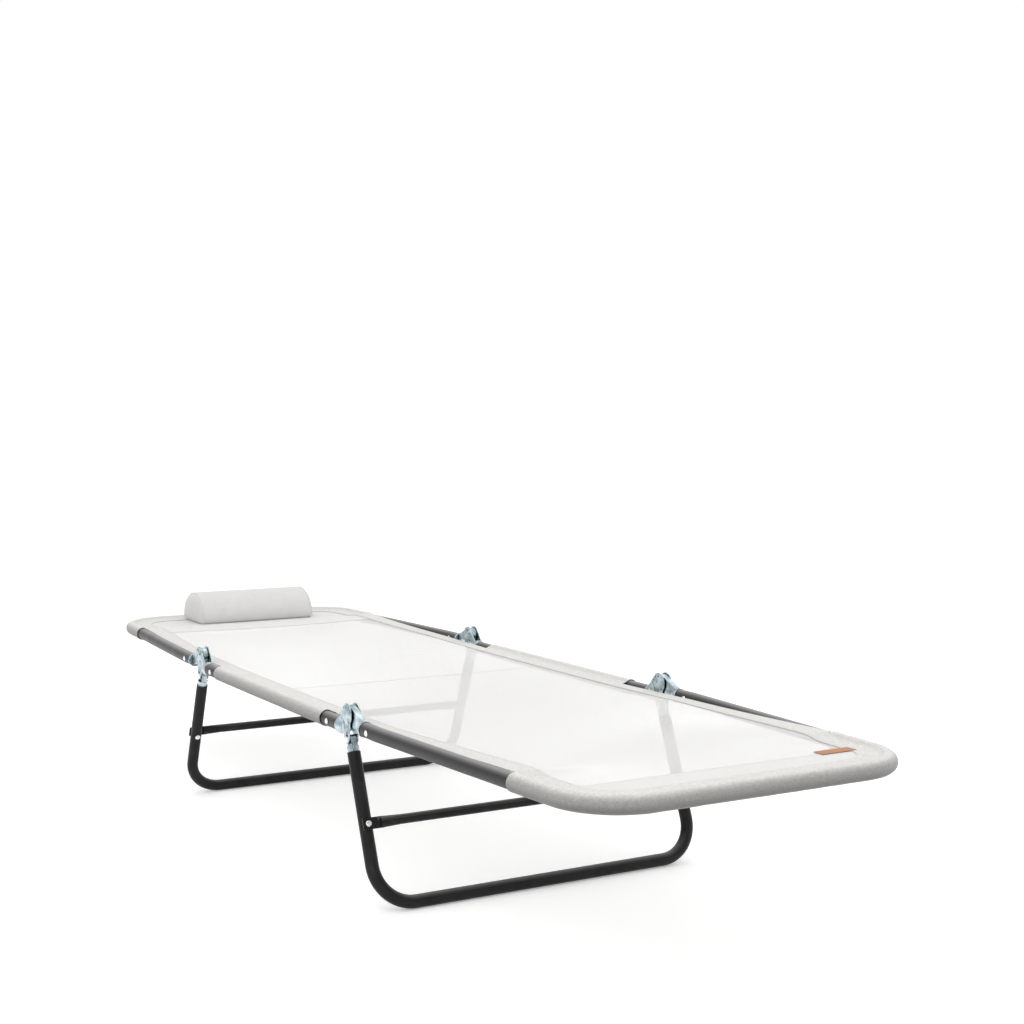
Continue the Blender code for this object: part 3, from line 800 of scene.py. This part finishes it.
def wrap_profile():
    """Points (inward, up) of the cloth round a tube, from its top and back under the sheet."""
    points = []
    first, last = math.radians(50), math.radians(-28)
    for i in range(ROUND_STEPS + 1):
        angle = first + (2 * math.pi + last - first) * i / ROUND_STEPS
        points.append((WRAP_RADIUS * math.cos(angle), WRAP_RADIUS * math.sin(angle)))
    points.append((EDGE_INSET + 0.010, EDGE_RISE - 0.0030))
    return points


def wrap_mesh(places, inward, seed, seam=None):
    """The cloth round a tube: a doubled flap on the sheet, and round the tube back under it."""
    rows = []
    profile = wrap_profile()
    for place, way_in in zip(places, inward):
        row = []
        for inset in FLAP_INSETS:
            point = place + way_in * inset
            layers = ON_DOUBLED if seam and abs(point.y) > seam - ROW else ON_SHEET
            row.append((point.x, point.y, surface_height(point.x, point.y) + CLOTH * layers))
        for number, (across, up) in enumerate(profile):
            sample = Vector((place.x * 60, place.y * 60, seed + number * 0.35))
            pucker = 1 + 0.022 * noise.noise(sample) * min(1, number / 4)
            point = place + way_in * across * pucker + Vector((0, 0, up * pucker))
            row.append(tuple(point))
        rows.append(row)
    return thicken(grid_mesh(rows), CLOTH)


def inward_of(places, centre):
    """Level directions across the path at each place, pointing towards centre."""
    directions = []
    for i, place in enumerate(places):
        ahead = places[min(i + 1, len(places) - 1)] - places[max(i - 1, 0)]
        across = Vector((-ahead.y, ahead.x, 0)).normalized()
        if across.dot(centre - place) < 0:
            across = -across
        directions.append(across)
    return directions


for end, way in ENDS.items():
    start = POCKET_START - PIVOT_Y
    path = u_path(start, start, END_BAR_Y - PIVOT_Y, end_width(POCKET_START), END_HALF_WIDTH,
                  END_CORNER)
    places = even_steps([(x, way * (PIVOT_Y + s), RAIL_Z) for x, s in path], 0.006)
    centre = Vector((0, way * PIVOT_Y, RAIL_Z))
    cloth = wrap_mesh(places, inward_of(places, centre), way, SEAM_Y[end])
    pocket = mesh_object(f"{end}_pocket_cloth", cloth, wrap_cloth)
    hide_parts(end + "_pocket")
    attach(pocket, end)

for side_name, side in SIDES.items():
    ends = [(side * RAIL_X, y, MIDDLE_RAIL_Z) for y in (-SLEEVE_END, SLEEVE_END)]
    places = even_steps(ends, 0.006)
    centre = Vector((0, 0, MIDDLE_RAIL_Z))
    cloth = wrap_mesh(places, inward_of(places, centre), 5 + side)
    sleeve = mesh_object(f"middle_sleeve_{side_name}_cloth", cloth, wrap_cloth)
    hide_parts(f"middle_sleeve_{side_name}")
    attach(sleeve, "middle")

# Pillow

pillow_low, pillow_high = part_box("pillow")
PILLOW_LENGTH = pillow_high.x - pillow_low.x
PILLOW_DEPTH = pillow_high.y - pillow_low.y
PILLOW_HEIGHT = pillow_high.z - pillow_low.z
PILLOW_X = (pillow_high.x + pillow_low.x) / 2
PILLOW_Y = (pillow_high.y + pillow_low.y) / 2


def d_section(depth, height, steps=20, foot=0.010):
    """Outline (y, z) of a half-round bolster with a rounded foot on each side."""
    points = []
    for i in range(steps + 1):
        angle = math.pi * i / steps
        points.append((depth / 2 * math.cos(angle), foot + (height - foot) * math.sin(angle)))
    return [(depth / 2 - 0.004, 0)] + points + [(-depth / 2 + 0.004, 0)]


PILLOW_SPARE = 0.010        # extra length, which the rounding of its ends takes back
PILLOW_SWELL = 0.0025       # left off its height, which the stuffing adds again


def pillow_mesh():
    outline = d_section(PILLOW_DEPTH, PILLOW_HEIGHT - PILLOW_SWELL)
    work = bmesh.new()
    steps = 24
    loops = []
    for i in range(steps + 1):
        x = (PILLOW_LENGTH + PILLOW_SPARE) * (i / steps - 0.5)
        loops.append([work.verts.new((x, y, z)) for y, z in outline])
    count = len(outline)
    for a, b in zip(loops, loops[1:]):
        for k in range(count):
            work.faces.new((a[k], a[(k + 1) % count], b[(k + 1) % count], b[k]))
    work.faces.new(loops[0])
    work.faces.new(reversed(loops[-1]))
    bmesh.ops.recalc_face_normals(work, faces=work.faces)
    return from_bmesh(work)


def plumped(mesh, voxel, pressure, cap, frames):
    """Cloth-simulated stuffing: the mesh swells a little, by at most cap."""
    thing = link(bpy.data.objects.new("plumping", mesh))
    remesh = thing.modifiers.new("remesh", "REMESH")
    remesh.mode = "VOXEL"
    remesh.voxel_size = voxel
    start = baked(thing)
    before = np.array([v.co for v in start.vertices])
    thing = link(bpy.data.objects.new("plumping", start))
    pins = thing.vertex_groups.new(name="flat")
    low = before[:, 2].min()
    pins.add([i for i, p in enumerate(before) if p[2] < low + 0.4 * voxel], 1.0, "REPLACE")
    cloth = thing.modifiers.new("cloth", "CLOTH")
    cloth.settings.use_pressure = True
    cloth.settings.uniform_pressure_force = pressure
    cloth.settings.effector_weights.gravity = 0
    cloth.settings.vertex_group_mass = "flat"
    cloth.point_cache.frame_end = frames
    for number in range(1, frames + 1):
        bpy.context.scene.frame_set(number)
    swollen = baked(thing)
    after = np.array([v.co for v in swollen.vertices])
    step = after - before
    length = np.linalg.norm(step, axis=1, keepdims=True)
    step *= np.minimum(1, cap / np.maximum(length, 1e-9))
    for vertex, place in zip(swollen.vertices, before + step):
        vertex.co = place
    thing = link(bpy.data.objects.new("plumping", swollen))
    smooth = thing.modifiers.new("smooth", "SMOOTH")
    smooth.iterations = 5
    divide = thing.modifiers.new("divide", "SUBSURF")
    divide.levels = divide.render_levels = 1
    return baked(thing)


PILLOW_Z = CLOTH * 1.2 + max(surface_height(PILLOW_X + dx, PILLOW_Y + dy)
                             for dx in (-0.12, 0, 0.12) for dy in (-0.05, 0.05))
pillow_place = Matrix.Translation((PILLOW_X, PILLOW_Y, PILLOW_Z))
stuffed_mesh = plumped(pillow_mesh(), voxel=0.0045, pressure=4.0, cap=0.0022, frames=14)
pillow_body = moved(stuffed_mesh, pillow_place)
pillow = mesh_object("pillow_body", pillow_body, pillow_grey)
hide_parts("pillow")

PIPING = 0.0011
stuffed = bmesh.new()
stuffed.from_mesh(pillow_body)
stuffed_tree = BVHTree.FromBMesh(stuffed)
stuffed.free()
piping_meshes = []
for side in SIDES.values():
    loop = []
    for y, z in d_section(PILLOW_DEPTH, PILLOW_HEIGHT):
        corner = Vector((PILLOW_X + side * PILLOW_LENGTH / 2, PILLOW_Y + y * 1.02,
                         PILLOW_Z + z * 1.02))
        place, normal, _, _ = stuffed_tree.find_nearest(corner)
        loop.append(tuple(place + normal * 0.3 * PIPING))
    piping_meshes.append(tube_mesh(loop + loop[:1], PIPING, 10))
piping = mesh_object("pillow_piping", joined(piping_meshes), pillow_grey)
for part in (pillow, piping):
    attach(part, "head")
    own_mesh(part)

# Tag

tag_low, tag_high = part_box("leather_tag")


def tag_mesh():
    """A thin blank tag with rounded corners that lies on the fabric."""
    work = bmesh.new()
    bmesh.ops.create_cube(work, size=1)
    bmesh.ops.scale(work, verts=work.verts, vec=tag_high - tag_low)
    upright = [e for e in work.edges if abs(e.verts[0].co.z - e.verts[1].co.z) > 1e-6]
    bmesh.ops.bevel(work, geom=upright, offset=0.001, segments=3, affect="EDGES")
    rim = [e for e in work.edges if e.calc_face_angle(0) > 1.2]
    bmesh.ops.bevel(work, geom=rim, offset=0.0002, segments=2, affect="EDGES")
    centre = (tag_low + tag_high) / 2
    rest = surface_height(centre.x, centre.y) + CLOTH * 1.9 + (tag_high.z - tag_low.z) / 2
    bmesh.ops.translate(work, verts=work.verts, vec=(centre.x, centre.y, rest))
    return from_bmesh(work)


tag = mesh_object("blank_tag", tag_mesh(), tan, smooth=False)
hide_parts("leather_tag")
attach(tag, "foot")

# Floor, light and camera

floor = link(bpy.data.objects.new("floor", bpy.data.meshes.new("floor")))
work = bmesh.new()
bmesh.ops.create_circle(work, cap_ends=True, segments=64, radius=30)
work.to_mesh(floor.data)
work.free()
floor_nodes = Nodes("floor_pale", (0.90, 0.90, 0.90), 0.9)
floor_nodes.set("Emission Color", (1, 1, 1, 1))
floor_nodes.set("Emission Strength", 0.25)
floor.data.materials.append(floor_nodes.material)
floor.location.z = -0.0005

world = bpy.data.worlds.new("studio")
world.use_nodes = True
world.node_tree.nodes["Background"].inputs["Color"].default_value = (1, 1, 1, 1)
world.node_tree.nodes["Background"].inputs["Strength"].default_value = 1.0
bpy.context.scene.world = world


def softbox(name, place, aim, size, power):
    data = bpy.data.lights.new(name, "AREA")
    data.shape = "RECTANGLE"
    data.size, data.size_y = size
    data.energy = power
    lamp = link(bpy.data.objects.new(name, data))
    lamp.location = place
    lamp.rotation_euler = (Vector(aim) - Vector(place)).to_track_quat("-Z", "Y").to_euler()


softbox("key_light", (-2.2, -1.6, 3.2), (0, 0, 0.2), (2.4, 2.4), 28)
softbox("fill_light", (2.6, 1.2, 2.6), (0, 0, 0.2), (2.5, 2.5), 8)
softbox("top_light", (0.3, 0.2, 3.4), (0, 0, 0.2), (3.0, 3.0), 20)

CAMERA_AZIMUTH = math.radians(-29.86)
CAMERA_ELEVATION = math.radians(4.13)
CAMERA_TARGET = Vector((0.046, -0.241, 0.532))
CAMERA_DISTANCE = 2.573
back = Vector((math.sin(CAMERA_AZIMUTH) * math.cos(CAMERA_ELEVATION),
               -math.cos(CAMERA_AZIMUTH) * math.cos(CAMERA_ELEVATION),
               math.sin(CAMERA_ELEVATION)))
camera = link(bpy.data.objects.new("camera", bpy.data.cameras.new("camera")))
camera.data.lens = 55.9
camera.data.sensor_width = 36
camera.data.shift_y = 0.0177
camera.location = CAMERA_TARGET + back * CAMERA_DISTANCE
camera.rotation_euler = back.to_track_quat("Z", "Y").to_euler()
bpy.context.scene.camera = camera
bpy.context.scene.view_settings.view_transform = "Standard"
